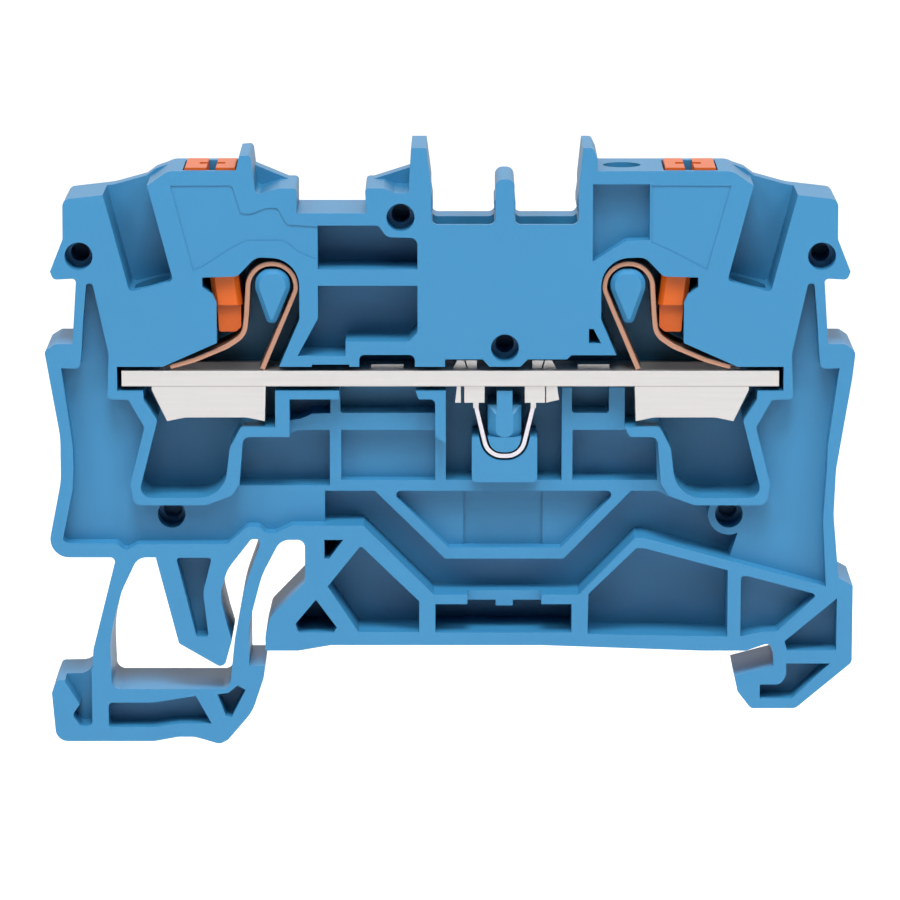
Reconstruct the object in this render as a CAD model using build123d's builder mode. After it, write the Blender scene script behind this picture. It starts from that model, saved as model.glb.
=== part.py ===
from build123d import *
import os
from math import cos, radians, sin, tan

os.makedirs("parts", exist_ok=True)

# Rail-mount feed-through terminal block for two push-in conductors.
# X runs along the block and Z up from the rail's seat. The open side of the moulding faces -Y.
# Outlines are lists of corners, each with its two coordinates and the radius of the corner.

# Moulded plate, measured across the block
BLOCK_WIDTH = 6.2
FRONT_SKIN = 0.5
FAR_WALL = 1.2
RIB_DROP = 1.4
SHALLOW_FLOOR = 2.6
LOW_FLOOR = 3.5
POCKET_FLOOR = 3.8
FOOT_FLOOR = 2.0
PANEL_STEP = 0.2
SKIN_STEP = 0.07
GUSSET_WIDTH = 1.6

# Heights above the rail's seat
ROOF_Z = 32.45
LEDGE_Z = 29.64
SLOT_FLOOR_Z = 28.88
WING_TOP_Z = 33.98
MARKER_TOP_Z = 31.3
WAIST_Z = 12.5
BODY_BASE_Z = 6.4
SOLE_Z = 0.38
FRAME_TOP_Z = 3.85

# Mounting rail that the feet take: 35 mm wide, 1 mm thick flanges
RAIL_WIDTH = 35.0
RAIL_THICKNESS = 1.0
RAIL_CLEARANCE = 0.2
RAIL_LAND = 3.3

# The two clamps are mirror images about this line
CLAMP_CENTRE_X = -4.0

# Current bar, lying in a slot with clearance all round
BAR_END = 2.0
BAR_WIDTH = 3.9
BAR_THICKNESS = 1.05
BAR_TOP_Z = 19.05
BAR_INSET = 0.15
BAR_CLEARANCE = 0.3

# Drawn collars under the bar, with the window that a conductor passes
COLLAR_HEIGHT = 2.35
COLLAR_WALL = 0.5
COLLAR_INNER = 12.25
COLLAR_OUTER = 19.85
COLLAR_FOOT = 18.85
COLLAR_ARCH = 0.25

# Clamp spring strip
SPRING_THICKNESS = 0.34
SPRING_WIDTH = 3.6
SPRING_INSET = 0.4
LOOP_RADIUS = 1.54
LOOP_U = 11.78
LOOP_Z = 24.65
LOOP_PEG_RADIUS = 1.15
LOOP_PEG_EDGE = 0.4
LOOP_PEG_TAPER = 36

# Push button, sliding along a line that leans outwards
BUTTON_TILT = 7.1
BUTTON_TIP_U = 14.53
BUTTON_TIP_Z = 21.55
BUTTON_STAND = 0.15
BUTTON_WIDTH = 4.6
BUTTON_TRAVEL = 1.6
BUTTON_CLEARANCE = 0.12
HEAD_HALF = 1.68
HEAD_DEPTH = 3.9
STEM_HALF = 0.96
STEM_CHAMFER = 0.33
TOE_TOP_Z = 23.4
TOE_SET_BACK = 0.4
DRIVER_SLOT = 0.62
DRIVER_SLOT_DEPTH = 1.0
DRIVER_SLOT_OFFSET = -0.1
CROSS_LENGTH = 1.7
CROSS_WIDTH = 0.8

# Conductor channel and the bore that leads on to the bar
CHANNEL_WIDTH = 3.0
CHANNEL_TILT = 14.7
CHANNEL_U = 19.8
CHANNEL_Z = 24.75
CHANNEL_FLOOR = 4.6
CONDUCTOR_RADIUS = 1.4

# Test hole in the right roof
TEST_RADIUS = 1.25
TEST_DEPTH = 3.0
TEST_X = 7.4

# Dowel holes in the open face and the pegs on the closed one
DOWEL_RADIUS = 0.93
DOWEL_DEPTH = 1.9
DOWEL_CORE_RADIUS = 0.62
DOWEL_CORE_DEPTH = 4.4
DOWEL_BOSS_RADIUS = 1.4
PEG_CLEARANCE = 0.08
PEG_HEIGHT = 1.0
SHOULDER_DOWEL = (24.6, 26.77)
WAIST_DOWEL = (18.68, 9.07)
MARKER_DOWEL = (-7.29, 29.36)
CENTRE_DOWEL = (-0.37, 20.6)

# Jumper places: two slots side by side, a post between them
JUMPER_CENTRE_X = -0.38
POST_WIDTH = 1.26
JUMPER_SLOT = 4.25
JUMPER_WELL = 4.1
JUMPER_WELL_DEPTH = 3.5
JUMPER_WELL_SKIN = 0.35
JUMPER_WELL_FOOT_Z = 22.5
JUMPER_PASSAGE = 3.3
JUMPER_PASSAGE_DEPTH = 3.0
JUMPER_SKIN = 0.8
POST_TOP_Z = 31.9
WELL_TOP_Z = SLOT_FLOOR_Z + 0.2

# U-shaped contact spring and the peg inside it
CONTACT_THICKNESS = 0.27
CONTACT_WIDTH = 3.0
CONTACT_INSET = 0.6
CONTACT_CLEARANCE = 0.15
CONTACT_PEG_EDGE = 0.6
CONTACT_PEG_TAPER = 42
PAD_FACE = 0.4
LUG_WIDTH = 2.6
LUG_INSET = 0.15
LUG_BASE_Z = 16.87
STUB_BASE_Z = 16.5
LIP_HEIGHT = 0.55
LIP_INSET = 1.0
LIP_WIDTH = 2.2


# Planes and outlines

def face_plane(depth, origin_x=0.0):
    """The plane this far behind the open face, seen from the viewer's side."""
    origin = (origin_x, -BLOCK_WIDTH / 2 + depth, 0)
    return Plane(origin=origin, x_dir=(1, 0, 0), z_dir=(0, -1, 0))


def region(corners):
    """The face inside an outline whose corners are (x, z, corner radius)."""
    points = [(x, z) for x, z, _ in corners]
    radii = [radius for _, _, radius in corners]
    with BuildSketch() as sketch:
        with BuildLine():
            FilletPolyline(*points, radius=radii, close=True)
        make_face()
    return sketch.sketch


def on_side(corners, side):
    """Corners given by their distance from the clamps' centre line, on the right (1) or left (-1)."""
    return [(CLAMP_CENTRE_X + side * u, z, radius) for u, z, radius in corners]


def beside_button(offset, height):
    """A point beside the button's sliding line, as distance from the centre line and height."""
    lean = (height - BUTTON_TIP_Z) * tan(radians(BUTTON_TILT))
    return (BUTTON_TIP_U + lean + offset, height)


def beside_channel(offset, along):
    """A point beside the conductor channel's line, measured up from the channel's foot."""
    lean = radians(CHANNEL_TILT)
    u = CHANNEL_U + along * sin(lean) + offset * cos(lean)
    z = CHANNEL_Z + along * cos(lean) - offset * sin(lean)
    return (u, z)


BAR_LENGTH = 2 * (COLLAR_OUTER + BAR_END)
BAR_BASE_Z = BAR_TOP_Z - BAR_THICKNESS
CAVITY_ROOF_Z = 25.35
SLOT_TOP_Z = BAR_TOP_Z + BAR_CLEARANCE
SLOT_BASE_Z = BAR_BASE_Z - BAR_CLEARANCE
SLOT_HALF = BAR_LENGTH / 2 + BAR_CLEARANCE
BAR_FLOOR = BAR_INSET + BAR_WIDTH + BAR_CLEARANCE
COLLAR_BASE_Z = BAR_BASE_Z - COLLAR_HEIGHT
CAVITY_FLOOR = BLOCK_WIDTH - FAR_WALL
RAIL_EDGE = RAIL_WIDTH / 2
POST_HALF = POST_WIDTH / 2
SLOT_1_X = JUMPER_CENTRE_X - POST_HALF - JUMPER_SLOT / 2
SLOT_2_X = JUMPER_CENTRE_X + POST_HALF + JUMPER_SLOT / 2
# Walls of the jumper slots: those of the wings and those of the post, each with its solid side
WING_WALLS = [(SLOT_1_X - JUMPER_SLOT / 2, -1), (SLOT_2_X + JUMPER_SLOT / 2, 1)]
POST_WALLS = [(SLOT_1_X + JUMPER_SLOT / 2, 1), (SLOT_2_X - JUMPER_SLOT / 2, -1)]


# Outer outline, clockwise from the right end of the roof

# One end of the head: roof slope, shoulder, finger notch and flank, by distance from the centre line
HEAD_SIDE = [
    (18.6, ROOF_Z, 1.2), (20.0, 31.5, 1.0), (22.6, 30.9, 2.0), (25.62, 30.55, 0.5),
    (25.64, 27.9, 0.5), (26.5, 25.75, 0.0), (26.3, 25.2, 0.35), (24.78, 25.28, 0.25),
    (25.08, 20.87, 0.0), (26.2, 20.87, 0.3),
]
RIGHT_FLANK = [(22.92, 20.4, 0.5), (22.72, 18.6, 6.0), (21.72, 12.4, 6.0), (21.6, 9.3, 6.0), (21.98, 5.0, 0.0)]
LEFT_FLANK = [(-31.0, BODY_BASE_Z, 1.25), (-29.97, 11.6, 5.0), (-29.97, 14.6, 6.0), (-30.95, 20.4, 0.3)]

# Fixed hook under the rail's right flange, from the outside in
FIXED_HOOK = [
    (22.95, 4.45, 0.0), (22.95, -0.8, 0.5), (19.2, -3.97, 0.6), (16.2, -3.97, 0.4), (15.3, -2.8, 0.4),
    (15.1, -1.75, 0.0), (RAIL_EDGE + RAIL_CLEARANCE, -RAIL_THICKNESS - 0.05, 0.0),
    (RAIL_EDGE + RAIL_CLEARANCE, -RAIL_CLEARANCE, 0.0), (17.45, 0.45, 0.0), (17.1, 0.45, 0.0),
    (RAIL_EDGE - RAIL_LAND / 2, 0.0, 0.0),
]
SOLE = [
    (RAIL_EDGE - RAIL_LAND - 1.4, 0.0, 0.0), (2.1, SOLE_Z, 0.0),
    (-12.0, SOLE_Z, 0.0), (-14.2, 0.0, 0.0), (-RAIL_EDGE + 1.1, 0.0, 0.0),
]
# Gap between the latch stem and the body, from the rail up and round
STEM_GAP = [
    (-RAIL_EDGE + 1.1, 1.0, 0.5), (-16.1, 2.25, 0.8), (-13.72, 4.72, 0.0), (-13.72, 7.6, 0.5),
    (-15.35, 7.6, 1.0), (-16.6, 5.2, 5.0), (-RAIL_EDGE, 1.8, 5.0), (-RAIL_EDGE, -RAIL_THICKNESS - 0.05, 0.0),
]
# Latch foot: hook nose, sole with its finger dip, pull tab and outer arm
LATCH_FOOT = [
    (-16.45, -RAIL_THICKNESS - 0.05, 0.0), (-16.5, -1.8, 2.0), (-17.3, -4.2, 3.0), (-18.95, -6.15, 0.3),
    (-19.5, -6.45, 0.5), (-21.2, -5.95, 1.5), (-22.3, -5.95, 1.5), (-23.9, -6.25, 1.5),
    (-30.5, -6.25, 0.85), (-30.78, -2.9, 0.3), (-30.45, -2.05, 0.3), (-28.08, -2.0, 1.0),
    (-27.95, 0.1, 0.8), (-26.35, BODY_BASE_Z, 0.3),
]
# Top between the two roofs: wing, jumper slots with their post, wing, marker recess and wing
RIGHT_WING = [
    (5.72, ROOF_Z, 0.0), (5.72, 33.3, 0.3), (5.4, WING_TOP_Z, 0.25), (4.76, WING_TOP_Z, 0.0),
    (SLOT_2_X + JUMPER_SLOT / 2, 31.5, 3.0), (SLOT_2_X + JUMPER_SLOT / 2, SLOT_FLOOR_Z, 0.45),
]
POST = [
    (JUMPER_CENTRE_X + POST_HALF, SLOT_FLOOR_Z, 0.45), (JUMPER_CENTRE_X + POST_HALF, POST_TOP_Z, 0.5),
    (JUMPER_CENTRE_X - POST_HALF, POST_TOP_Z, 0.5), (JUMPER_CENTRE_X - POST_HALF, SLOT_FLOOR_Z, 0.45),
]
MIDDLE_WING = [
    (SLOT_1_X - JUMPER_SLOT / 2, SLOT_FLOOR_Z, 0.45), (SLOT_1_X - JUMPER_SLOT / 2, 31.5, 3.0),
    (-5.58, WING_TOP_Z, 0.0), (-6.55, WING_TOP_Z, 0.0), (-6.65, 33.0, 0.0),
    (-6.75, 30.95, 0.25), (-7.7, 31.0, 0.3), (-8.4, MARKER_TOP_Z, 0.3), (-9.63, MARKER_TOP_Z, 0.25),
    (-9.55, LEDGE_Z, 0.0),
]
LEFT_WING = [
    (-14.15, LEDGE_Z, 0.0), (-14.15, MARKER_TOP_Z, 0.25), (-15.3, MARKER_TOP_Z, 0.3), (-16.85, 30.85, 0.3),
    (-17.16, 33.3, 0.0), (-17.3, 33.5, 0.0), (-17.93, 33.45, 0.0), (-18.15, ROOF_Z, 0.0),
]

OUTLINE = (
    on_side(HEAD_SIDE, 1) + RIGHT_FLANK + FIXED_HOOK + SOLE + STEM_GAP + LATCH_FOOT
    + LEFT_FLANK + on_side(HEAD_SIDE[::-1], -1) + LEFT_WING[::-1] + MIDDLE_WING[::-1]
    + POST[::-1] + RIGHT_WING[::-1]
)

# Hole inside the latch loop, round the stop leg
LATCH_WINDOW = [
    (-24.9, BODY_BASE_Z, 0.9), (-23.7, BODY_BASE_Z, 0.0), (-22.2, 0.5, 0.3), (-19.2, -1.25, 0.4),
    (-18.65, 0.7, 0.3), (-19.0, 1.9, 1.5), (-19.45, 3.8, 2.5), (-18.9, 5.6, 2.5), (-17.3, 7.65, 0.3),
    (-16.75, 7.65, 0.2), (-16.75, 7.2, 0.0), (-17.85, 4.1, 8.0), (-18.45, 0.8, 4.0), (-18.82, -2.65, 0.6),
    (-26.73, -2.65, 0.6), (-26.85, 0.8, 8.0), (-26.1, 3.9, 8.0),
]

# Relief in front of the ribs: everything between the rim, the frame and the clamp rooms
SIDE_RELIEF = [
    (24.12, 24.95, 0.2), (24.34, 22.6, 1.0), (24.5, 20.2, 0.5), (24.62, 19.22, 0.35), (25.86, 19.25, 0.0),
    (25.15, 14.0, 3.0), (25.12, WAIST_Z, 0.0), (21.05, WAIST_Z, 0.0), (20.36, 15.25, 0.3), (21.4, 17.12, 0.2),
    (22.8, 17.15, 0.3), (22.68, 20.2, 0.8), (23.7, 24.95, 0.2),
]
CHAMBER_SKIRT = [
    (21.05, WAIST_Z, 0.0), (21.35, 11.35, 0.4), (21.1, 9.96, 0.6), (16.3, 9.96, 0.6),
    (14.6, 10.6, 0.3), (14.05, 11.4, 0.3), (13.8, 14.6, 0.5),
]
FRAME_EDGE = [
    (-25.12 + CLAMP_CENTRE_X, WAIST_Z, 0.0), (-29.2, 11.0, 2.0), (-29.95, 7.35, 0.35), (-26.3, 7.35, 0.3),
    (-25.7, 6.85, 0.3), (-24.9, 7.3, 0.3), (-18.9, 7.32, 0.3), (-17.6, 8.5, 0.5), (-16.8, 8.5, 0.4),
    (-16.3, 8.05, 0.3), (-15.7, 8.05, 0.3), (-14.6, 8.57, 0.3), (-9.8, 8.57, 0.0), (-5.1, FRAME_TOP_Z, 0.0),
    (4.6, FRAME_TOP_Z, 0.0), (8.35, 7.75, 0.3), (9.1, 7.7, 0.0), (21.15, 4.42, 0.0), (20.9, 9.0, 3.0),
    (25.12 + CLAMP_CENTRE_X, WAIST_Z, 0.0),
]
MIDDLE_EDGE = [
    (7.95, 14.6, 0.0), (7.65, 15.2, 0.0), (7.65, SLOT_BASE_Z, 0.0), (-11.4, SLOT_BASE_Z, 0.0),
    (-11.4, 17.15, 0.0), (-14.7, 17.15, 0.0), (-14.7, 14.6, 0.0),
]
LOWER_RELIEF = FRAME_EDGE + on_side(CHAMBER_SKIRT, 1) + MIDDLE_EDGE + on_side(CHAMBER_SKIRT[::-1], -1)
# Bracket that stays at full height under the bar
BAR_BRACKET = [
    (-6.3, SLOT_BASE_Z, 0.0), (-4.3, SLOT_BASE_Z, 0.0), (-4.3, 14.15, 0.0), (-5.0, 14.65, 0.0),
    (-5.0, 17.15, 0.35), (-6.1, 17.15, 0.0),
]

# Floors behind the ribs
WEB_PANEL = [(-11.3, 14.82, 0.0), (-5.0, 14.82, 0.0), (-5.0, 11.4, 0.0), (-11.3, 11.4, 0.0)]
RIGHT_PANEL = [
    (4.17, 14.82, 0.0), (7.85, 14.82, 0.0), (8.0, 14.6, 0.0), (9.75, 14.6, 0.5), (9.85, 11.4, 0.0), (4.17, 11.4, 0.0),
]
KEEL_PANEL = [(-8.05, 10.67, 0.3), (-4.1, 6.77, 0.0), (3.4, 6.77, 0.0), (7.2, 10.67, 0.3)]
KEEL_STEP = [(-3.12, 10.67, 0.0), (-3.12, 6.77, 0.0), (2.2, 6.77, 0.0), (2.2, 10.67, 0.3)]
KEEL = [(-9.05, 10.67, 0.0), (-4.35, 6.02, 0.0), (3.6, 6.02, 0.0), (8.1, 10.67, 0.0)]
UNDER_KEEL = [
    (-12.4, 10.67, 0.0), (-9.05, 10.67, 0.0), (-4.35, 6.02, 0.0), (3.6, 6.02, 0.0), (8.1, 10.67, 0.0),
    (9.9, 10.67, 0.0), (10.5, 10.33, 0.2), (12.4, 9.96, 0.3), (15.35, 9.96, 0.0), (15.35, 8.0, 0.0),
    (14.75, 6.16, 0.0), (9.1, 7.7, 0.0), (8.35, 7.75, 0.3), (4.6, FRAME_TOP_Z, 0.0), (-5.1, FRAME_TOP_Z, 0.0),
    (-9.8, 8.57, 0.0), (-12.4, 8.57, 0.0),
]
LEFT_PANEL = [
    (-18.1, 11.03, 0.0), (-17.8, 14.6, 0.5), (-14.7, 14.6, 0.0), (-14.1, 14.82, 0.0), (-12.05, 14.82, 0.0),
    (-12.05, 11.03, 0.0),
]
BAR_POCKET = [(-11.35, SLOT_BASE_Z, 0.0), (-6.3, SLOT_BASE_Z, 0.0), (-6.1, 17.15, 0.0), (-5.0, 17.15, 0.35),
              (-5.0, 15.97, 0.0), (-11.35, 15.97, 0.2)]
SHELF_POCKET = [(-14.7, 17.12, 0.0), (-12.0, 17.12, 0.0), (-12.0, 15.94, 0.0), (-13.2, 15.92, 0.2),
                (-14.0, 15.57, 0.2), (-14.7, 15.47, 0.0)]
SMALL_POCKET = [(4.12, SLOT_BASE_Z, 0.0), (6.6, SLOT_BASE_Z, 0.0), (6.6, 15.97, 0.2), (4.12, 15.97, 0.2)]
CONTACT_ROOM = [(-4.3, SLOT_BASE_Z, 0.0), (3.45, SLOT_BASE_Z, 0.0), (3.45, 11.4, 0.0), (-4.3, 11.4, 0.0)]

# Pockets sunk from the open face
MARKER_POCKET = [(-12.78, 28.83, 0.0), (-8.75, 28.83, 0.3), (-8.2, 28.05, 0.6), (-6.17, 28.0, 0.5),
                 (-6.17, 25.89, 0.0), (-12.78, 25.89, 0.0)]
WEDGE_POCKET = [(-12.78, 24.8, 0.0), (-6.17, 24.8, 0.0), (-6.17, 21.65, 0.2), (-6.75, 21.05, 0.2),
                (-10.95, 21.05, 0.0), (-10.95, 20.07, 0.0), (-14.15, 20.07, 0.0), (-12.78, 22.6, 0.2)]
TEST_POCKET = [(5.42, 31.58, 0.0), (9.19, 31.58, 0.0), (9.19, 27.86, 0.0), (7.6, 27.8, 0.9), (5.42, 26.4, 0.0)]
CORE_POCKET = [(5.2, 21.9, 0.0), (5.5, 21.9, 0.0), (6.02, 20.92, 0.0), (5.2, 20.92, 0.0)]
FRAME_POCKET = [(-9.98, 7.2, 0.2), (-6.08, 3.4, 0.0), (-6.08, 1.28, 0.0), (-10.15, 1.28, 0.0),
                (-12.22, 4.4, 0.0)]
KEY_POCKET = [(-5.0, 3.2, 0.0), (4.13, 3.2, 0.0), (4.13, 1.25, 0.0), (-5.0, 1.25, 0.0)]
SMALL_TRIANGLE = [(-12.42, 7.6, 0.0), (-11.15, 7.6, 0.0), (-12.1, 6.3, 0.0), (-12.42, 6.3, 0.0)]
LOW_TRIANGLE = [(-13.0, 3.5, 0.0), (-11.6, 1.6, 0.0), (-11.8, 1.25, 0.0), (-14.2, 1.25, 0.2), (-14.38, 1.85, 0.0)]
RIGHT_POCKET = [(5.25, 3.9, 0.0), (8.45, 7.05, 0.2), (9.0, 7.02, 0.0), (14.58, 5.52, 0.0), (14.58, 0.97, 0.0),
                (5.2, 1.15, 0.0)]
FOOT_POCKET = [(15.45, 5.12, 0.2), (15.95, 5.12, 0.0), (20.62, 3.85, 0.2), (17.9, 1.33, 0.3), (16.9, 1.3, 0.4),
               (15.45, 0.97, 0.0)]
HEEL_POCKET = [(18.42, 0.65, 0.0), (21.9, 3.6, 0.0), (21.9, 0.03, 0.0), (18.6, 0.0, 0.0)]
HOOK_POCKET = [(18.55, -0.88, 0.0), (21.5, -0.88, 0.0), (18.95, -3.3, 0.3), (16.8, -3.3, 0.0),
               (16.8, -2.33, 0.0), (18.2, -2.33, 0.6), (18.55, -1.7, 0.3)]
STOP_POCKET = [(-22.35, 6.38, 0.2), (-19.95, 6.38, 0.2), (-20.55, 4.0, 1.5), (-20.2, 0.95, 0.2), (-21.02, 0.95, 0.2)]
TAIL_POCKET = [(-26.98, -3.58, 0.3), (-24.0, -3.58, 2.0), (-21.1, -3.12, 0.0), (-20.05, -5.03, 0.0),
               (-22.3, -5.03, 1.5), (-24.0, -5.28, 1.5), (-26.98, -5.28, 0.2)]
STEM_POCKET = [(-19.65, -3.02, 0.0), (-18.9, -2.9, 0.0), (-18.3, -2.4, 0.0), (-17.75, -2.7, 0.0),
               (-18.7, -4.6, 0.0), (-19.1, -4.5, 0.0)]
TAB_RECESS = [(-29.88, -1.5, 0.0), (-29.88, -2.15, 0.0), (-28.92, -3.7, 0.0), (-29.42, -4.45, 0.35),
              (-28.85, -5.25, 0.35), (-28.08, -5.15, 0.25), (-28.08, -1.5, 0.0)]

# Stretches of the open face that are a touch lower than the rims
LEFT_SKIN = [
    (-22.49, 31.48, 0.0), (-18.4, 31.5, 0.3), (-17.84, 29.65, 0.2), (-17.2, 29.6, 0.3), (-16.2, 30.0, 0.3),
    (-15.4, 30.0, 0.3), (-14.8, 28.9, 0.3), (-12.7, 28.75, 0.0), (-12.7, 26.5, 0.0), (-14.0, 27.0, 0.5),
    (-15.0, 27.82, 0.8), (-17.5, 27.82, 0.8), (-18.5, 27.3, 0.5), (-20.4, 26.05, 0.0), (-21.04, 25.81, 0.0),
]
RIGHT_SKIN = [(9.3, 31.5, 0.0), (14.55, 31.48, 0.0), (13.0, 25.86, 0.0), (10.44, 27.19, 0.3), (9.3, 27.7, 0.0)]
KEY_RIB = [(-2.85, FRAME_TOP_Z, 0.0), (2.1, FRAME_TOP_Z, 0.0), (2.1, 3.1, 0.0), (-2.85, 3.1, 0.0)]
KEY_STOP = [(-0.95, 3.2, 0.0), (0.2, 3.2, 0.0), (0.2, 2.8, 0.0), (-0.95, 2.8, 0.0)]

FLOORS = [
    (SKIN_STEP, [LEFT_SKIN, RIGHT_SKIN]),
    (RIB_DROP, [TEST_POCKET, KEY_RIB]),
    (FOOT_FLOOR, [FOOT_POCKET, HEEL_POCKET, HOOK_POCKET, STOP_POCKET, TAIL_POCKET, STEM_POCKET, TAB_RECESS]),
    (SHALLOW_FLOOR, [WEB_PANEL, KEEL_PANEL]),
    (SHALLOW_FLOOR + PANEL_STEP, [KEEL_STEP]),
    (POCKET_FLOOR, [LEFT_PANEL, RIGHT_PANEL, BAR_POCKET, SHELF_POCKET, SMALL_POCKET]),
    (POCKET_FLOOR, [MARKER_POCKET, WEDGE_POCKET, FRAME_POCKET, RIGHT_POCKET]),
    (CAVITY_FLOOR, [CORE_POCKET, KEY_POCKET, SMALL_TRIANGLE, LOW_TRIANGLE]),
]

# Sprung cavity of one clamp, the chamber under its collar and the button's shaft
CAVITY = [
    (11.35, BAR_BASE_Z, 0.0), (11.35, SLOT_TOP_Z, 0.0), (10.0, 22.5, 0.3), (10.0, 26.6, 1.9), (12.9, 26.7, 0.9),
    (14.1, 25.42, 0.6), (16.43, CAVITY_ROOF_Z, 0.0), (16.43, 24.7, 0.0), (15.75, 24.2, 0.0),
    (15.5, 23.65, 0.3), (15.5, 20.95, 0.0), (19.1, SLOT_TOP_Z, 0.0), (19.1, BAR_BASE_Z, 0.0),
]
CHAMBER = [
    (COLLAR_INNER - 0.6, BAR_BASE_Z, 0.0), (COLLAR_OUTER + 0.6, BAR_BASE_Z, 0.0), (COLLAR_OUTER + 0.55, 17.1, 0.3),
    (COLLAR_FOOT + 0.65, 15.7, 0.3), (20.85, 10.46, 0.7), (15.1, 10.46, 1.9), (14.7, 13.8, 0.6),
    (13.95, 15.25, 0.3), (COLLAR_INNER - 0.6, 15.25, 0.0),
]


# Teardrop peg inside the spring's loop
LOOP_PEG = [
    (LOOP_U - LOOP_PEG_RADIUS, LOOP_Z + 1.2, 1.0), (LOOP_U + LOOP_PEG_RADIUS, LOOP_Z + 1.2, 1.0),
    (LOOP_U + LOOP_PEG_RADIUS, LOOP_Z - 0.1, 0.6), (LOOP_U + 0.35, LOOP_Z - 2.4, 0.3),
    (LOOP_U - 0.2, LOOP_Z - 2.4, 0.3), (LOOP_U - LOOP_PEG_RADIUS, LOOP_Z - 0.1, 0.6),
]
# Gaps over the bar where its tongues and the jumper contacts stand
LEFT_GAP = [(-10.05, SLOT_BASE_Z, 0.0), (-10.05, 20.15, 0.35), (-6.35, 20.15, 0.4), (-6.35, SLOT_BASE_Z, 0.0)]
CONTACT_GAP = [(-4.35, SLOT_BASE_Z, 0.0), (-4.35, 19.85, 0.05), (-1.85, 19.85, 0.0), (-1.4, SLOT_TOP_Z, 0.0),
               (-1.4, SLOT_BASE_Z, 0.0)]
RIGHT_GAP = [(0.65, SLOT_BASE_Z, 0.0), (0.65, SLOT_TOP_Z, 0.0), (1.15, 19.85, 0.0), (3.75, 19.85, 0.0),
             (4.05, 20.13, 0.0), (7.5, 20.13, 0.0), (7.5, SLOT_BASE_Z, 0.0)]
BAR_SLIT = [(-13.2, SLOT_TOP_Z - 0.1, 0.0), (-13.2, 19.5, 0.0), (-10.7, 19.5, 0.0), (-10.7, SLOT_TOP_Z - 0.1, 0.0)]

# Swells on both walls of each jumper slot, by distance into the wall, and the crest behind the roof's ends
WING_SWELL = [(0.1, 31.6, 0.0), (-0.1, 30.2, 0.0), (-0.1, 29.7, 0.0), (0.1, 29.3, 0.0)]
POST_SWELL = [(0.1, 30.6, 0.0), (-0.08, 30.2, 0.0), (-0.08, 29.7, 0.0), (0.1, 29.3, 0.0)]
SWELL_DEPTH = 1.5
REAR_CREST = [
    (18.0, 32.3, 0.0), (18.5, 32.4, 0.0), (19.65, 32.0, 0.0), (20.3, 31.52, 0.0), (22.6, 30.88, 0.0),
    (22.6, 30.0, 0.0), (18.0, 30.0, 0.0),
]

# Webs behind the marker recess, on the closed side only
GUSSETS = [
    [(-17.2, 32.3, 0.0), (-14.8, MARKER_TOP_Z, 0.0), (-15.5, 30.8, 0.0), (-17.2, 30.8, 0.0)],
    [(-6.6, 32.1, 0.0), (-9.1, MARKER_TOP_Z, 0.0), (-8.4, 30.8, 0.0), (-6.6, 30.8, 0.0)],
]

# Centre line of the clamp spring, from its foot on the bar round the loop to the clamping edge
CLAMP_STRIP = [
    (12.5, 19.12), (11.52, 21.8), (10.24, 24.45), (10.24, LOOP_Z + 1.55), (13.32, LOOP_Z + 1.55), (13.52, 22.9),
    (13.66, 21.45), (14.8, 20.66), (17.0, 19.74), (18.62, 19.27),
]
CLAMP_BENDS = [4.0, 0.6, LOOP_RADIUS, LOOP_RADIUS, 3.0, 0.8, 0.5, 3.0]
# Centre line of the contact spring, by distance from the middle of the jumper places
CONTACT_STRIP = [(-1.88, 16.45), (-1.1, 13.2), (1.1, 13.2), (1.88, 16.45)]
CONTACT_BENDS = [1.2, 1.2]
CONTACT_PAD = [(-2.18, 14.5, 0.1), (2.18, 14.5, 0.1), (2.18, 11.45, 0.3), (-2.18, 11.45, 0.3)]
CONTACT_NECK = [(-0.52, 17.65, 0.0), (0.52, 17.65, 0.0), (0.52, 15.4, 0.0), (-0.52, 15.4, 0.0)]
CONTACT_PEG = [(1.12, 16.6, 0.0), (1.12, 13.98, 1.05), (-1.12, 13.98, 1.05), (-1.12, 16.6, 0.0)]


# Housing

def both(corners):
    """The same corners on the left and on the right clamp."""
    return [on_side(corners, 1), on_side(corners, -1)]


def strip(points, bends, thickness):
    """The face of a bent strip along its centre line."""
    with BuildSketch() as sketch:
        with BuildLine():
            FilletPolyline(*points, radius=bends)
        trace(line_width=thickness)
    return sketch.sketch


def drafted_peg(corners, front, edge, taper, origin_x=0.0):
    """A peg on the far wall up to a plane behind the open face, its front edge drafted all round."""
    with BuildPart() as peg:
        with BuildSketch(face_plane(CAVITY_FLOOR, origin_x)):
            add(region(corners))
        extrude(amount=CAVITY_FLOOR - front - edge)
        with BuildSketch(face_plane(front + edge, origin_x)):
            add(region(corners))
        extrude(amount=edge, taper=taper)
    return peg.part


HEAD_FOOT_Z = ROOF_Z - HEAD_DEPTH
SHAFT_FOOT_Z = HEAD_FOOT_Z - BUTTON_TRAVEL - BUTTON_CLEARANCE


def button_shaft():
    """The stepped shaft that one button slides in."""
    head = HEAD_HALF + BUTTON_CLEARANCE
    stem = STEM_HALF + BUTTON_CLEARANCE
    above = ROOF_Z + 1
    below = TOE_TOP_Z - BUTTON_TRAVEL - BUTTON_CLEARANCE
    return [
        (*beside_button(-head, above), 0), (*beside_button(head, above), 0), (*beside_button(head, SHAFT_FOOT_Z), 0),
        (*beside_button(stem, SHAFT_FOOT_Z), 0), (*beside_button(stem, below), 0),
        (*beside_button(-stem, below), 0), (*beside_button(-stem, SHAFT_FOOT_Z), 0),
        (*beside_button(-head, SHAFT_FOOT_Z), 0),
    ]


def channel():
    """The conductor's channel, open at the roof."""
    half = CHANNEL_WIDTH / 2
    return [
        (*beside_channel(-half, 0), 0.3), (*beside_channel(-half, 9), 0),
        (*beside_channel(half, 9), 0), (*beside_channel(half, 0), 0.3),
    ]


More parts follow.
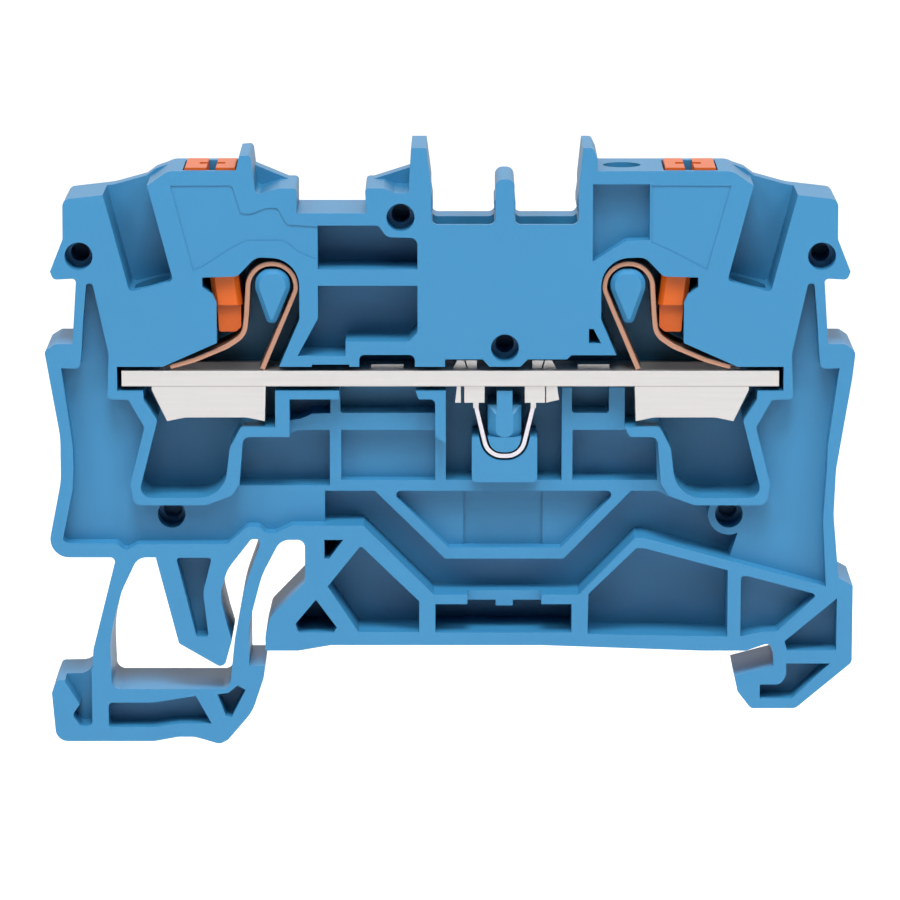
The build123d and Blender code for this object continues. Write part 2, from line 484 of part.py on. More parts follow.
def bore_plane(side):
    """The plane across the conductor's path at the foot of its channel, facing down to the collar's middle."""
    lean = radians(CHANNEL_TILT)
    collar_y = BAR_INSET + BAR_WIDTH / 2 - BLOCK_WIDTH / 2
    origin = (CLAMP_CENTRE_X + side * CHANNEL_U, collar_y, CHANNEL_Z)
    return Plane(origin=origin, z_dir=(-side * sin(lean), 0, -cos(lean)))


DOWELS = [
    (CLAMP_CENTRE_X - SHOULDER_DOWEL[0], SHOULDER_DOWEL[1]), (CLAMP_CENTRE_X + SHOULDER_DOWEL[0], SHOULDER_DOWEL[1]),
    MARKER_DOWEL, CENTRE_DOWEL,
]
WAIST_DOWELS = [
    (CLAMP_CENTRE_X - WAIST_DOWEL[0], WAIST_DOWEL[1]), (CLAMP_CENTRE_X + WAIST_DOWEL[0], WAIST_DOWEL[1]),
]

with BuildPart() as housing:
    with BuildSketch(face_plane(0)):
        add(region(OUTLINE))
        add(region(LATCH_WINDOW), mode=Mode.SUBTRACT)
    extrude(amount=-BLOCK_WIDTH)
    with BuildSketch(face_plane(BLOCK_WIDTH - GUSSET_WIDTH)):
        for corners in GUSSETS:
            add(region(corners))
    extrude(amount=-GUSSET_WIDTH)
    with BuildSketch(face_plane(SWELL_DEPTH)):
        for swell, walls in ((WING_SWELL, WING_WALLS), (POST_SWELL, POST_WALLS)):
            for x, side in walls:
                add(region([(x + side * offset, z, radius) for offset, z, radius in swell]))
    extrude(amount=-(BLOCK_WIDTH - SWELL_DEPTH))
    with BuildSketch(face_plane(CHANNEL_FLOOR)):
        for corners in both(REAR_CREST):
            add(region(corners))
    extrude(amount=-(BLOCK_WIDTH - CHANNEL_FLOOR))

    # Ribs stand back from the rims, the bracket under the bar does not
    with BuildSketch(face_plane(0)):
        add(region(LOWER_RELIEF))
        for corners in both(SIDE_RELIEF):
            add(region(corners))
        add(region(BAR_BRACKET), mode=Mode.SUBTRACT)
    extrude(amount=-RIB_DROP, mode=Mode.SUBTRACT)
    for depth, outlines in FLOORS:
        with BuildSketch(face_plane(0)):
            for corners in outlines:
                add(region(corners))
        extrude(amount=-depth, mode=Mode.SUBTRACT)
    with BuildSketch(face_plane(RIB_DROP)):
        add(region(KEY_STOP))
    extrude(amount=-(CAVITY_FLOOR - RIB_DROP))
    with BuildSketch(face_plane(0)):
        add(region(UNDER_KEEL))
        add(region(KEEL), mode=Mode.SUBTRACT)
        with Locations(WAIST_DOWELS[1]):
            Circle(DOWEL_BOSS_RADIUS, mode=Mode.SUBTRACT)
    extrude(amount=-LOW_FLOOR, mode=Mode.SUBTRACT)

    # Slot of the current bar with the gaps over it and the chambers of its collars
    with BuildSketch(face_plane(0)):
        with Locations((CLAMP_CENTRE_X, (SLOT_TOP_Z + SLOT_BASE_Z) / 2)):
            Rectangle(2 * SLOT_HALF, SLOT_TOP_Z - SLOT_BASE_Z)
        for corners in both(CHAMBER) + [LEFT_GAP, CONTACT_GAP, RIGHT_GAP, BAR_SLIT]:
            add(region(corners))
    extrude(amount=-BAR_FLOOR, mode=Mode.SUBTRACT)

    # Jumper contact: its room, the pad with the groove for its spring, and the peg inside
    with BuildSketch(face_plane(0)):
        add(region(CONTACT_ROOM))
    extrude(amount=-BAR_FLOOR, mode=Mode.SUBTRACT)
    with BuildSketch(face_plane(PAD_FACE, JUMPER_CENTRE_X)):
        add(region(CONTACT_PAD))
    extrude(amount=-(BAR_FLOOR - PAD_FACE))
    with BuildSketch(face_plane(PAD_FACE, JUMPER_CENTRE_X)):
        add(strip(CONTACT_STRIP, CONTACT_BENDS, CONTACT_THICKNESS + 2 * CONTACT_CLEARANCE))
    extrude(amount=-(CONTACT_INSET + CONTACT_WIDTH + CONTACT_CLEARANCE - PAD_FACE), mode=Mode.SUBTRACT)
    with BuildSketch(face_plane(PAD_FACE, JUMPER_CENTRE_X)):
        add(region(CONTACT_NECK))
    extrude(amount=-(BAR_FLOOR - PAD_FACE))
    add(drafted_peg(CONTACT_PEG, PAD_FACE, CONTACT_PEG_EDGE, CONTACT_PEG_TAPER, JUMPER_CENTRE_X))

    # Clamp rooms with their loop pegs, button shafts, conductor channels and bores
    with BuildSketch(face_plane(0)):
        for corners in both(CAVITY):
            add(region(corners))
    extrude(amount=-CAVITY_FLOOR, mode=Mode.SUBTRACT)
    for corners in both(LOOP_PEG):
        add(drafted_peg(corners, 0, LOOP_PEG_EDGE, LOOP_PEG_TAPER))
    with BuildSketch(face_plane(FRONT_SKIN)):
        for corners in both(button_shaft()):
            add(region(corners))
    extrude(amount=-(BUTTON_WIDTH + 2 * BUTTON_CLEARANCE), mode=Mode.SUBTRACT)
    with BuildSketch(face_plane(0)):
        for corners in both(channel()):
            add(region(corners))
    extrude(amount=-CHANNEL_FLOOR, mode=Mode.SUBTRACT)
    for side in (1, -1):
        with BuildSketch(bore_plane(side)):
            Circle(CONDUCTOR_RADIUS)
        extrude(amount=(CHANNEL_Z - SLOT_TOP_Z) / cos(radians(CHANNEL_TILT)), mode=Mode.SUBTRACT)

    # Jumper wells in the slots' floors, with passages down to the contacts, and the test hole
    for skin, width, depth, foot in (
        (JUMPER_WELL_SKIN, JUMPER_WELL, JUMPER_WELL_DEPTH, JUMPER_WELL_FOOT_Z),
        (JUMPER_SKIN, JUMPER_PASSAGE, JUMPER_PASSAGE_DEPTH, SLOT_TOP_Z),
    ):
        with BuildSketch(Plane.XY.offset(WELL_TOP_Z)):
            with Locations(*[(x, -BLOCK_WIDTH / 2 + skin + depth / 2) for x in (SLOT_1_X, SLOT_2_X)]):
                Rectangle(width, depth)
        extrude(amount=foot - WELL_TOP_Z, mode=Mode.SUBTRACT)
    with BuildSketch(Plane.XY.offset(ROOF_Z)):
        with Locations((TEST_X, 0)):
            Circle(TEST_RADIUS)
    extrude(amount=-TEST_DEPTH, mode=Mode.SUBTRACT)

    # Stepped dowel holes in the open face and in the ribs' level, pegs on the closed side
    for level, places in ((0, DOWELS), (RIB_DROP, WAIST_DOWELS)):
        for depth, radius in ((DOWEL_DEPTH, DOWEL_RADIUS), (DOWEL_CORE_DEPTH - level, DOWEL_CORE_RADIUS)):
            with BuildSketch(face_plane(level)):
                with Locations(*places):
                    Circle(radius)
            extrude(amount=-depth, mode=Mode.SUBTRACT)
    with BuildSketch(face_plane(BLOCK_WIDTH)):
        with Locations(*DOWELS, *WAIST_DOWELS):
            Circle(DOWEL_RADIUS - PEG_CLEARANCE)
    extrude(amount=-PEG_HEIGHT)

housing.part.label = "housing"
export_step(housing.part, "parts/housing.step")


# Current bar

COLLAR = [
    (COLLAR_INNER, BAR_TOP_Z, 0), (COLLAR_OUTER, BAR_TOP_Z, 0), (COLLAR_OUTER, BAR_BASE_Z - 0.25, 0.1),
    (COLLAR_FOOT, COLLAR_BASE_Z, 0), (COLLAR_FOOT - 1.2, COLLAR_BASE_Z + COLLAR_ARCH, 2.0),
    (COLLAR_INNER + 1.3, COLLAR_BASE_Z + COLLAR_ARCH, 2.0), (COLLAR_INNER + 0.1, COLLAR_BASE_Z, 0),
]
COLLAR_HOLE = [
    (COLLAR_INNER + COLLAR_WALL, BAR_TOP_Z + 0.1, 0), (COLLAR_OUTER - COLLAR_WALL, BAR_TOP_Z + 0.1, 0),
    (COLLAR_OUTER - COLLAR_WALL, BAR_BASE_Z - 0.25, 0.3), (COLLAR_FOOT - COLLAR_WALL, COLLAR_BASE_Z - 0.1, 0),
    (COLLAR_INNER + COLLAR_WALL, COLLAR_BASE_Z - 0.1, 0),
]
# Lugs of the jumper contact, by distance from the middle of the jumper places
INNER_LUG = [(1.34, BAR_BASE_Z, 0), (2.68, BAR_BASE_Z, 0), (2.68, LUG_BASE_Z, 0), (2.09, LUG_BASE_Z, 0),
             (2.09, STUB_BASE_Z, 0), (1.73, STUB_BASE_Z, 0), (1.73, LUG_BASE_Z, 0), (1.34, LUG_BASE_Z, 0)]
LEFT_LUG = [(2.92, BAR_BASE_Z, 0), (3.17, BAR_BASE_Z, 0), (3.3, LUG_BASE_Z, 0), (2.92, LUG_BASE_Z, 0)]
RIGHT_LUG = [(2.77, BAR_BASE_Z, 0), (3.48, BAR_BASE_Z, 0), (3.62, LUG_BASE_Z + 0.2, 0), (2.77, LUG_BASE_Z, 0)]
# Contact lips that stand up through the bar into the jumpers' way
LIPS = [
    [(1.85, BAR_TOP_Z, 0), (2.44, BAR_TOP_Z, 0), (2.6, BAR_TOP_Z + LIP_HEIGHT, 0), (1.85, BAR_TOP_Z + LIP_HEIGHT, 0)],
    [(2.54, BAR_TOP_Z, 0), (3.45, BAR_TOP_Z, 0), (3.16, BAR_TOP_Z + LIP_HEIGHT, 0), (2.7, BAR_TOP_Z + LIP_HEIGHT, 0)],
]
TONGUES = [(-8.2, 2.15), (5.55, 2.1)]
TONGUE_HEIGHT = 0.25
TONGUE_DEPTH = 1.3
TONGUE_INSET = 1.2


def across_jumpers(corners, side):
    """Corners given by their distance from the middle of the jumper places, on one side of it."""
    return [(JUMPER_CENTRE_X + side * x, z, radius) for x, z, radius in corners]


with BuildPart() as current_bar:
    with BuildSketch(face_plane(BAR_INSET)):
        with Locations((CLAMP_CENTRE_X, (BAR_TOP_Z + BAR_BASE_Z) / 2)):
            Rectangle(BAR_LENGTH, BAR_THICKNESS)
        for corners in both(COLLAR):
            add(region(corners))
    extrude(amount=-BAR_WIDTH)
    with BuildSketch(face_plane(BAR_INSET + COLLAR_WALL)):
        for corners in both(COLLAR_HOLE):
            add(region(corners))
    extrude(amount=-(BAR_WIDTH - 2 * COLLAR_WALL), mode=Mode.SUBTRACT)
    with BuildSketch(face_plane(BAR_INSET + LUG_INSET)):
        for corners, side in ((INNER_LUG, 1), (RIGHT_LUG, 1), (INNER_LUG, -1), (LEFT_LUG, -1)):
            add(region(across_jumpers(corners, side)))
    extrude(amount=-LUG_WIDTH)
    with BuildSketch(face_plane(LIP_INSET)):
        for corners in LIPS:
            add(region(across_jumpers(corners, 1)))
            add(region(across_jumpers(corners, -1)))
    extrude(amount=-LIP_WIDTH)
    with BuildSketch(face_plane(TONGUE_INSET)):
        for x, width in TONGUES:
            with Locations((x, BAR_TOP_Z + TONGUE_HEIGHT / 2)):
                Rectangle(width, TONGUE_HEIGHT)
    extrude(amount=-TONGUE_DEPTH)

current_bar.part.label = "current_bar"
export_step(current_bar.part, "parts/current_bar.step")


# Clamp springs

def clamp_spring(side):
    """The bent strip of one clamp."""
    with BuildPart() as spring:
        with BuildSketch(face_plane(SPRING_INSET, CLAMP_CENTRE_X)):
            points = [(side * u, z) for u, z in CLAMP_STRIP]
            add(strip(points, CLAMP_BENDS, SPRING_THICKNESS))
        extrude(amount=-SPRING_WIDTH)
    return spring.part


with BuildPart() as clamp_spring_right:
    add(clamp_spring(1))

clamp_spring_right.part.label = "clamp_spring_right"
export_step(clamp_spring_right.part, "parts/clamp_spring_right.step")

with BuildPart() as clamp_spring_left:
    add(clamp_spring(-1))

clamp_spring_left.part.label = "clamp_spring_left"
export_step(clamp_spring_left.part, "parts/clamp_spring_left.step")


# Push buttons

BUTTON_TOP_Z = ROOF_Z + BUTTON_STAND
BUTTON_FACE = FRONT_SKIN + BUTTON_CLEARANCE


def button_outline():
    """The button's side view: head in the roof, stem through the guide, toe on the spring."""
    return [
        (*beside_button(-HEAD_HALF, BUTTON_TOP_Z), 0.1), (*beside_button(HEAD_HALF, BUTTON_TOP_Z), 0.1),
        (*beside_button(HEAD_HALF, HEAD_FOOT_Z), 0.2), (*beside_button(STEM_HALF, HEAD_FOOT_Z), 0),
        (*beside_button(STEM_HALF, TOE_TOP_Z), 0), (*beside_button(-STEM_HALF, TOE_TOP_Z), 0),
        (*beside_button(-STEM_HALF, HEAD_FOOT_Z), 0), (*beside_button(-HEAD_HALF, HEAD_FOOT_Z), 0.2),
    ]


def toe_outline():
    """The toe below the stem, its inner corner cut back from the spring."""
    return [
        (*beside_button(-0.86, TOE_TOP_Z + 0.1), 0), (*beside_button(0.72, TOE_TOP_Z + 0.1), 0),
        (*beside_button(0.84, BUTTON_TIP_Z), 0.15), (*beside_button(-0.27, BUTTON_TIP_Z), 0.1),
        (*beside_button(-0.67, 21.87), 0.15),
    ]


def push_button(side):
    """One push button with its driver notch, a slot right across crossed by a short one."""
    with BuildPart() as button:
        with BuildSketch(face_plane(BUTTON_FACE)):
            add(region(on_side(button_outline(), side)))
        extrude(amount=-BUTTON_WIDTH)
        front = button.faces().sort_by(Axis.Y)[0]
        stem_edges = [edge for edge in front.edges() if edge.length > HEAD_FOOT_Z - TOE_TOP_Z]
        chamfer(stem_edges, STEM_CHAMFER)
        notch_u, _ = beside_button(DRIVER_SLOT_OFFSET, BUTTON_TOP_Z)
        notch_y = BUTTON_FACE + BUTTON_WIDTH / 2 - BLOCK_WIDTH / 2
        with BuildSketch(Plane.XY.offset(BUTTON_TOP_Z)):
            with Locations((CLAMP_CENTRE_X + side * notch_u, notch_y)):
                Rectangle(DRIVER_SLOT, BUTTON_WIDTH)
                Rectangle(CROSS_LENGTH, CROSS_WIDTH)
        extrude(amount=-DRIVER_SLOT_DEPTH, mode=Mode.SUBTRACT)
        with BuildSketch(face_plane(BUTTON_FACE + TOE_SET_BACK)):
            add(region(on_side(toe_outline(), side)))
        extrude(amount=-(BUTTON_WIDTH - 2 * TOE_SET_BACK))
    return button.part


with BuildPart() as push_button_right:
    add(push_button(1))

push_button_right.part.label = "push_button_right"
export_step(push_button_right.part, "parts/push_button_right.step")

with BuildPart() as push_button_left:
    add(push_button(-1))

push_button_left.part.label = "push_button_left"
export_step(push_button_left.part, "parts/push_button_left.step")


# Contact spring that backs both jumper contacts

with BuildPart() as jumper_contact_spring:
    with BuildSketch(face_plane(CONTACT_INSET, JUMPER_CENTRE_X)):
        add(strip(CONTACT_STRIP, CONTACT_BENDS, CONTACT_THICKNESS))
    extrude(amount=-CONTACT_WIDTH)

jumper_contact_spring.part.label = "jumper_contact_spring"
export_step(jumper_contact_spring.part, "parts/jumper_contact_spring.step")
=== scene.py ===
import bpy
import numpy as np
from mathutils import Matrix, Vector


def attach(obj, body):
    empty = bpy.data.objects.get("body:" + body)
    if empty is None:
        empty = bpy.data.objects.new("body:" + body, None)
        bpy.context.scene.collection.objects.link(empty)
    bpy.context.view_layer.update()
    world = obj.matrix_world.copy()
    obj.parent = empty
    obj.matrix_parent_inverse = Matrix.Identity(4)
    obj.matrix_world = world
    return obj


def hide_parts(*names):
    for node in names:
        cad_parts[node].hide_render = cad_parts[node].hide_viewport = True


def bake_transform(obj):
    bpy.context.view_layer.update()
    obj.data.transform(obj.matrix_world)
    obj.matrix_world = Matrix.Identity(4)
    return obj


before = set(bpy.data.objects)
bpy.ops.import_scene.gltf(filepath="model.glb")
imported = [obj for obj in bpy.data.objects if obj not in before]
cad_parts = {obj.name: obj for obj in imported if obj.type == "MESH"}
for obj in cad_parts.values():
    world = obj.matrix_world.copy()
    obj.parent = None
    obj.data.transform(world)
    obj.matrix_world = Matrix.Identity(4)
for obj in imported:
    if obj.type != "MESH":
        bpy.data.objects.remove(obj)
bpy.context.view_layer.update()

MM = 0.001

# Plain colours, without a film curve
bpy.context.scene.view_settings.view_transform = "Standard"


# Camera at the photograph's angle: straight on, 11 degrees above the rail's plane

SENSOR_MM = 36.0
LENS_MM = 214.0
TARGET = Vector((-4.018, -3.1, 13.72)) * MM
DISTANCE = 356.4 * MM
ELEVATION = np.radians(11.0)
CLIP_NEAR, CLIP_FAR = 0.01, 20.0


def add_camera():
    """A long lens that looks along +Y and down by the elevation, at the middle of the open side."""
    data = bpy.data.cameras.new("camera")
    data.sensor_width = SENSOR_MM
    data.lens = LENS_MM
    data.clip_start = CLIP_NEAR
    data.clip_end = CLIP_FAR
    camera = bpy.data.objects.new("camera", data)
    bpy.context.scene.collection.objects.link(camera)
    forward = Vector((0, np.cos(ELEVATION), -np.sin(ELEVATION)))
    camera.location = TARGET - forward * DISTANCE
    camera.rotation_euler = forward.to_track_quat("-Z", "Y").to_euler()
    bpy.context.scene.camera = camera


add_camera()


# Colours and nodes

# A colour mix and the numbers of its sockets, whose names it also gives to numbers and vectors
COLOUR_MIX = {"data_type": "RGBA"}
MIX_A, MIX_B, MIX_RESULT = 6, 7, 2


def linear(code):
    """A colour written as sRGB hex, in the linear values that shaders use, with alpha 1."""
    parts = np.array([int(code[i:i + 2], 16) for i in (1, 3, 5)]) / 255
    values = np.where(parts <= 0.04045, parts / 12.92, ((parts + 0.055) / 1.055) ** 2.4)
    return (*values, 1.0)


def per_mm(size_mm):
    """The scale of a pattern on Object coordinates, in metres, with features this many mm wide."""
    return 1.0 / (size_mm * MM)


def add_node(tree, kind, settings=None, links=None, values=None, **inputs):
    """One shader node: its settings, its links and its constants, by the socket's name or number.

    A constant may also be a keyword, with an underscore for each space in the socket's name.
    """
    node = tree.nodes.new(kind)
    for name, value in (settings or {}).items():
        setattr(node, name, value)
    for name, value in inputs.items():
        node.inputs[name.replace("_", " ")].default_value = value
    for socket, value in (values or {}).items():
        node.inputs[socket].default_value = value
    for socket, source in (links or {}).items():
        tree.links.new(source, node.inputs[socket])
    return node


def new_material(name):
    """An empty material with its tree, its Object coordinates and its output node."""
    material = bpy.data.materials.new(name)
    material.use_nodes = True
    tree = material.node_tree
    tree.nodes.clear()
    place = add_node(tree, "ShaderNodeTexCoord").outputs["Object"]
    output = add_node(tree, "ShaderNodeOutputMaterial")
    return material, tree, place, output


def paint(node_name, material):
    """Gives one CAD node its material."""
    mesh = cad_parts[node_name].data
    mesh.materials.clear()
    mesh.materials.append(material)


# Moulded polyamide

# Slow flow marks of the melt
FLOW_MM = 6.0
# The tool's spark-eroded grain is about 0.05 mm wide, and is drawn coarser so that it shows
GRAIN_MM = 0.14
GRAIN_DEPTH_MM = 0.02
GRAIN_STRENGTH = 0.08
POLYAMIDE_IOR = 1.53
# Below the 0.5 of a polished plastic, because the grain scatters part of the gloss
POLYAMIDE_SPECULAR = 0.35


def moulded_polyamide(name, face, shade, roughness):
    """Polyamide 6.6, injection moulded in a spark-eroded tool: an even satin skin with a fine grain."""
    material, tree, place, output = new_material(name)
    flow = add_node(tree, "ShaderNodeTexNoise", links={"Vector": place}, Scale=per_mm(FLOW_MM), Detail=2.0)
    tint = add_node(
        tree, "ShaderNodeMix", COLOUR_MIX, {"Factor": flow.outputs["Fac"]},
        {MIX_A: linear(face), MIX_B: linear(shade)},
    )
    grain = add_node(tree, "ShaderNodeTexNoise", links={"Vector": place}, Scale=per_mm(GRAIN_MM), Detail=3.0)
    bump = add_node(
        tree, "ShaderNodeBump", links={"Height": grain.outputs["Fac"]},
        Strength=GRAIN_STRENGTH, Distance=GRAIN_DEPTH_MM * MM,
    )
    skin = add_node(
        tree, "ShaderNodeBsdfPrincipled",
        links={"Base Color": tint.outputs[MIX_RESULT], "Normal": bump.outputs["Normal"]},
        Roughness=roughness, IOR=POLYAMIDE_IOR, Specular_IOR_Level=POLYAMIDE_SPECULAR,
    )
    tree.links.new(skin.outputs["BSDF"], output.inputs["Surface"])
    return material


HOUSING = moulded_polyamide("polyamide_moulded_blue", "#2A6F98", "#286A92", 0.45)
BUTTON = moulded_polyamide("polyamide_moulded_orange", "#B75007", "#AF4B06", 0.42)


# Rolled strip metal

# Width of a streak as a share of its length along X
STREAK_SHARE = 0.04
# Roughness in the streaks, below and above the metal's own
GLOSS_BELOW, GLOSS_ABOVE = 0.05, 0.07
# Lower face of the bar, where its collars are drawn down, with a painted shade line for the crease there
BAR_BASE_Z = 18.0
SHADE_LINE_HALF_WIDTH = 0.035
SHADE_LINE_COLOUR = "#A5A29F"
# Faces towards the open side have a normal with a Y below this
OPEN_SIDE_Y = -0.5


def with_painted_shade_line(tree, place, colour, shade_line_z):
    """The colour with a painted shade line a hair wide at one height, on faces towards the open side."""
    height = add_node(tree, "ShaderNodeSeparateXYZ", links={"Vector": place}).outputs["Z"]
    line = add_node(
        tree, "ShaderNodeMath", {"operation": "COMPARE"}, {0: height},
        {1: shade_line_z * MM, 2: SHADE_LINE_HALF_WIDTH * MM},
    )
    normal = add_node(tree, "ShaderNodeNewGeometry").outputs["True Normal"]
    towards = add_node(tree, "ShaderNodeSeparateXYZ", links={"Vector": normal}).outputs["Y"]
    open_side = add_node(tree, "ShaderNodeMath", {"operation": "LESS_THAN"}, {0: towards}, {1: OPEN_SIDE_Y})
    both = add_node(
        tree, "ShaderNodeMath", {"operation": "MULTIPLY"}, {0: line.outputs[0], 1: open_side.outputs[0]}
    )
    mix = add_node(
        tree, "ShaderNodeMix", COLOUR_MIX, {"Factor": both.outputs[0], MIX_A: colour},
        {MIX_B: linear(SHADE_LINE_COLOUR)},
    )
    return mix.outputs[MIX_RESULT]


def rolled_metal(name, face, shade, roughness, streak_mm, shade_line_z=None):
    """Strip metal, rolled and stamped: faint streaks along X from the rolls, slightly uneven gloss."""
    material, tree, place, output = new_material(name)
    stretch = add_node(tree, "ShaderNodeMapping", links={"Vector": place}, Scale=(STREAK_SHARE, 1.0, 1.0))
    streak = add_node(
        tree, "ShaderNodeTexNoise", links={"Vector": stretch.outputs["Vector"]},
        Scale=per_mm(streak_mm), Detail=2.0,
    )
    tint = add_node(
        tree, "ShaderNodeMix", COLOUR_MIX, {"Factor": streak.outputs["Fac"]},
        {MIX_A: linear(face), MIX_B: linear(shade)},
    )
    colour = tint.outputs[MIX_RESULT]
    # Painted shade: a darker line at the given height, for the crease under the bar
    if shade_line_z is not None:
        colour = with_painted_shade_line(tree, place, colour, shade_line_z)
    gloss = add_node(
        tree, "ShaderNodeMapRange", links={"Value": streak.outputs["Fac"]},
        To_Min=roughness - GLOSS_BELOW, To_Max=roughness + GLOSS_ABOVE,
    )
    skin = add_node(
        tree, "ShaderNodeBsdfPrincipled",
        links={"Base Color": colour, "Roughness": gloss.outputs["Result"]}, Metallic=1.0,
    )
    tree.links.new(skin.outputs["BSDF"], output.inputs["Surface"])
    return material


# Tin plate looks white and soft, a copper flash pale pink, and bare spring steel cold and sharper
# The bar also carries the painted shade line at BAR_BASE_Z
BAR = rolled_metal("copper_tin_plated", "#C9C7C6", "#C3C1C0", 0.45, 0.18, BAR_BASE_Z)
CLAMP = rolled_metal("spring_steel_copper_flashed", "#B78B76", "#AE8470", 0.45, 0.12)
CONTACT = rolled_metal("spring_steel_bright", "#D1CDD4", "#C2BEC5", 0.3, 0.12)

paint("housing", HOUSING)
paint("push_button_left", BUTTON)
paint("push_button_right", BUTTON)
paint("current_bar", BAR)
paint("jumper_contact_spring", CONTACT)


# Clamp springs

CLAMP_CENTRE_X = -4.0
OPEN_FACE_Y = -3.1
STRIP_INSET = 0.4
STRIP_WIDTH = 3.6
STRIP_THICKNESS = 0.34
STRIP_EDGE = 0.06
LOOP_TOP_Z = 26.2
LOOP_RADIUS = 1.54
# Corners of the strip's centre line, by distance from the clamps' centre line and height, and their bends
STRIP_PATH = np.array([
    (12.5, 19.12), (11.36, 21.8), (10.24, 24.45), (10.24, LOOP_TOP_Z), (13.32, LOOP_TOP_Z),
    (13.52, 22.9), (13.66, 21.45), (14.8, 20.66), (17.0, 19.74), (18.62, 19.27),
])
STRIP_BENDS = np.array([4.0, 0.6, LOOP_RADIUS, LOOP_RADIUS, 3.0, 1.3, 3.0, 3.0])
# The clamping leg starts here on the strip, and its knee is what the button pushes
LEG_START = np.array((13.44, 24.1))
# Fineness: step along the strip, points of an arc and of a rounded edge, and the place of the second
# section as a share of the step at each end
PATH_STEP = 0.12
ARC_POINTS = 17
EDGE_POINTS = 5
END_SHARE = 0.05
SAME_POINT = 1e-6


def rounded_path(corners, bends):
    """Points along a polyline whose inner corners are rounded.

    Each corner gives two tangent points, at bend times tan(turn / 2) from it along both runs, and an arc
    between them as a quadratic blend of tangent point, corner and tangent point, made circular by the
    weight cos(turn / 2). The whole line is then resampled to even steps of its length.
    """
    before, at, after = corners[:-2], corners[1:-1], corners[2:]
    inwards = (before - at) / np.linalg.norm(before - at, axis=1, keepdims=True)
    outwards = (after - at) / np.linalg.norm(after - at, axis=1, keepdims=True)
    half_turn = (np.pi - np.arccos(np.clip((inwards * outwards).sum(axis=1), -1, 1))) / 2
    reach = (bends * np.tan(half_turn))[:, None]
    starts, ends = at + inwards * reach, at + outwards * reach
    t = np.linspace(0, 1, ARC_POINTS)[None, :, None]
    first, last = (1 - t) ** 2, t ** 2
    middle = 2 * np.cos(half_turn)[:, None, None] * t * (1 - t)
    arcs = (first * starts[:, None] + middle * at[:, None] + last * ends[:, None]) / (first + middle + last)
    line = np.vstack([corners[:1], arcs.reshape(-1, 2), corners[-1:]])
    runs = np.linalg.norm(np.diff(line, axis=0), axis=1)
    line = line[np.concatenate([[True], runs > SAME_POINT])]
    length = np.concatenate([[0], np.cumsum(np.linalg.norm(np.diff(line, axis=0), axis=1))])
    even = np.linspace(0, length[-1], int(length[-1] / PATH_STEP) + 1)
    return np.stack([np.interp(even, length, line[:, k]) for k in range(2)], axis=1)


def strip_section():
    """A closed rectangle of thickness by width with its four edges rounded by quarter circles."""
    half_t, half_w = STRIP_THICKNESS / 2 - STRIP_EDGE, STRIP_WIDTH / 2 - STRIP_EDGE
    turn = np.linspace(0, np.pi / 2, EDGE_POINTS)
    angles = np.concatenate([turn + k * np.pi / 2 for k in range(4)])
    corners = np.array([(half_t, half_w), (-half_t, half_w), (-half_t, -half_w), (half_t, -half_w)])
    centres = np.repeat(corners, EDGE_POINTS, axis=0)
    return centres + STRIP_EDGE * np.stack([np.cos(angles), np.sin(angles)], axis=1)


def add_strip(name, path, side):
    """A closed strip: the section is carried along the path.

    A section point (a, w) at path point p goes to p + a * normal across the strip and to the strip's
    middle depth + w along Y. Both ends are closed by the section's own face, and a second section
    close to each end keeps the strip's shading even up to it.
    """
    ends = path[[0, -1]] + END_SHARE * (path[[1, -2]] - path[[0, -1]])
    path = np.vstack([path[:1], ends[:1], path[1:-1], ends[1:], path[-1:]])
    tangent = np.gradient(path, axis=0)
    tangent /= np.linalg.norm(tangent, axis=1, keepdims=True)
    normal = np.stack([-tangent[:, 1], tangent[:, 0]], axis=1)
    section = strip_section()
    flat = path[:, None] + normal[:, None] * section[None, :, :1]
    x = CLAMP_CENTRE_X + side * flat[..., 0]
    y = np.broadcast_to(OPEN_FACE_Y + STRIP_INSET + STRIP_WIDTH / 2 + section[None, :, 1], x.shape)
    points = np.stack([x, y, flat[..., 1]], axis=-1).reshape(-1, 3) * MM
    rows, count = len(path), len(section)
    i, j = np.meshgrid(np.arange(rows - 1), np.arange(count), indexing="ij")
    here, beside = i * count + j, i * count + (j + 1) % count
    quads = np.stack([here, beside, beside + count, here + count], axis=-1).reshape(-1, 4)
    caps = [np.arange(count)[::-1], (rows - 1) * count + np.arange(count)]
    if side > 0:
        quads, caps = quads[:, ::-1], [cap[::-1] for cap in caps]
    mesh = bpy.data.meshes.new(name)
    mesh.from_pydata(points.tolist(), [], quads.tolist() + [cap.tolist() for cap in caps])
    mesh.polygons.foreach_set("use_smooth", np.arange(len(mesh.polygons)) < len(quads))
    mesh.materials.append(CLAMP)
    piece = bpy.data.objects.new(name, mesh)
    bpy.context.scene.collection.objects.link(piece)
    return piece


def add_clamp_spring(word, side):
    """One clamp spring in two pieces.

    Foot, support leg and loop stay with the block. The clamping leg is a second piece, with its place baked
    into its mesh.
    """
    path = rounded_path(STRIP_PATH, STRIP_BENDS)
    cut = np.linalg.norm(path - LEG_START, axis=1).argmin()
    loop = add_strip(f"clamp_spring_{word}_loop", path[:cut + 1], side)
    leg = add_strip(f"clamp_spring_{word}_leg", path[cut:], side)
    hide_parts(f"clamp_spring_{word}")
    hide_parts(f"clamp_spring_{word}")
    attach(loop, "block")

    def place(point):
        return ((CLAMP_CENTRE_X + side * point[0]) * MM, 0.0, point[1] * MM)

    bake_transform(leg)


add_clamp_spring("left", -1)
add_clamp_spring("right", 1)


# Studio: a plain white floor well below the rail, and soft light

FLOOR_Z = -40.0 * MM
FLOOR_HALF = 3.0
FLOOR_ROUGHNESS = 0.8
FLOOR_GLOW = 0.33
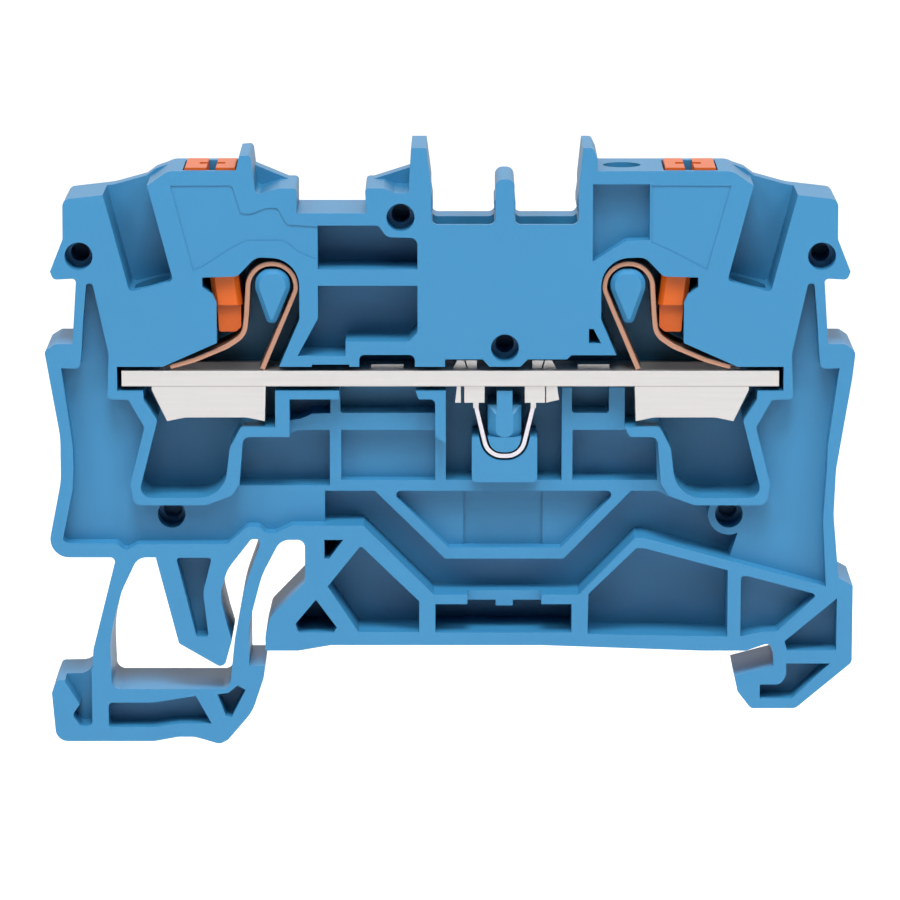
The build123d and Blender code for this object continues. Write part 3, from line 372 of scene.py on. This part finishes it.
# Name, place and side in metres, and power in watts. The steep ones leave the pockets dark, and the one
# behind gives the tops their pale sheen.
SOFTBOXES = [
    ("softbox_key", (0.0, -0.34, 0.77), 0.3, 7.8),
    ("softbox_key_left", (-0.45, -0.4, 0.6), 0.3, 2.9),
    ("softbox_key_right", (0.45, -0.4, 0.6), 0.3, 2.8),
    ("softbox_side_left", (-0.7, -0.3, 0.3), 0.5, 0.95),
    ("softbox_side_right", (0.7, -0.3, 0.3), 0.5, 1.4),
    ("softbox_front", (0.0, -0.6, 0.55), 0.3, 1.4),
    ("softbox_back", (0.0, 0.8, 0.25), 0.8, 2.3),
]
WORLD_STRENGTH = 0.03


def add_floor():
    """A plain white floor that glows a little, like a light table."""
    mesh = bpy.data.meshes.new("floor")
    corners = [(x * FLOOR_HALF, y * FLOOR_HALF, FLOOR_Z) for x, y in ((-1, -1), (1, -1), (1, 1), (-1, 1))]
    mesh.from_pydata(corners, [], [(0, 1, 2, 3)])
    material, tree, _, output = new_material("card_matt_white")
    skin = add_node(
        tree, "ShaderNodeBsdfPrincipled", Base_Color=linear("#E0E0E0"), Roughness=FLOOR_ROUGHNESS,
        Emission_Color=linear("#FFFFFF"), Emission_Strength=FLOOR_GLOW,
    )
    tree.links.new(skin.outputs["BSDF"], output.inputs["Surface"])
    mesh.materials.append(material)
    floor = bpy.data.objects.new("floor", mesh)
    bpy.context.scene.collection.objects.link(floor)


def add_softbox(name, place, size, power):
    """A square area light that faces the middle of the block."""
    data = bpy.data.lights.new(name, "AREA")
    data.shape = "SQUARE"
    data.size = size
    data.energy = power
    light = bpy.data.objects.new(name, data)
    bpy.context.scene.collection.objects.link(light)
    light.location = place
    light.rotation_euler = (TARGET - light.location).to_track_quat("-Z", "Y").to_euler()


def add_world():
    """A faint even white from all round."""
    world = bpy.data.worlds.new("studio")
    bpy.context.scene.world = world
    world.use_nodes = True
    sky = world.node_tree.nodes["Background"]
    sky.inputs["Color"].default_value = linear("#FFFFFF")
    sky.inputs["Strength"].default_value = WORLD_STRENGTH


add_floor()
for softbox in SOFTBOXES:
    add_softbox(*softbox)
add_world()
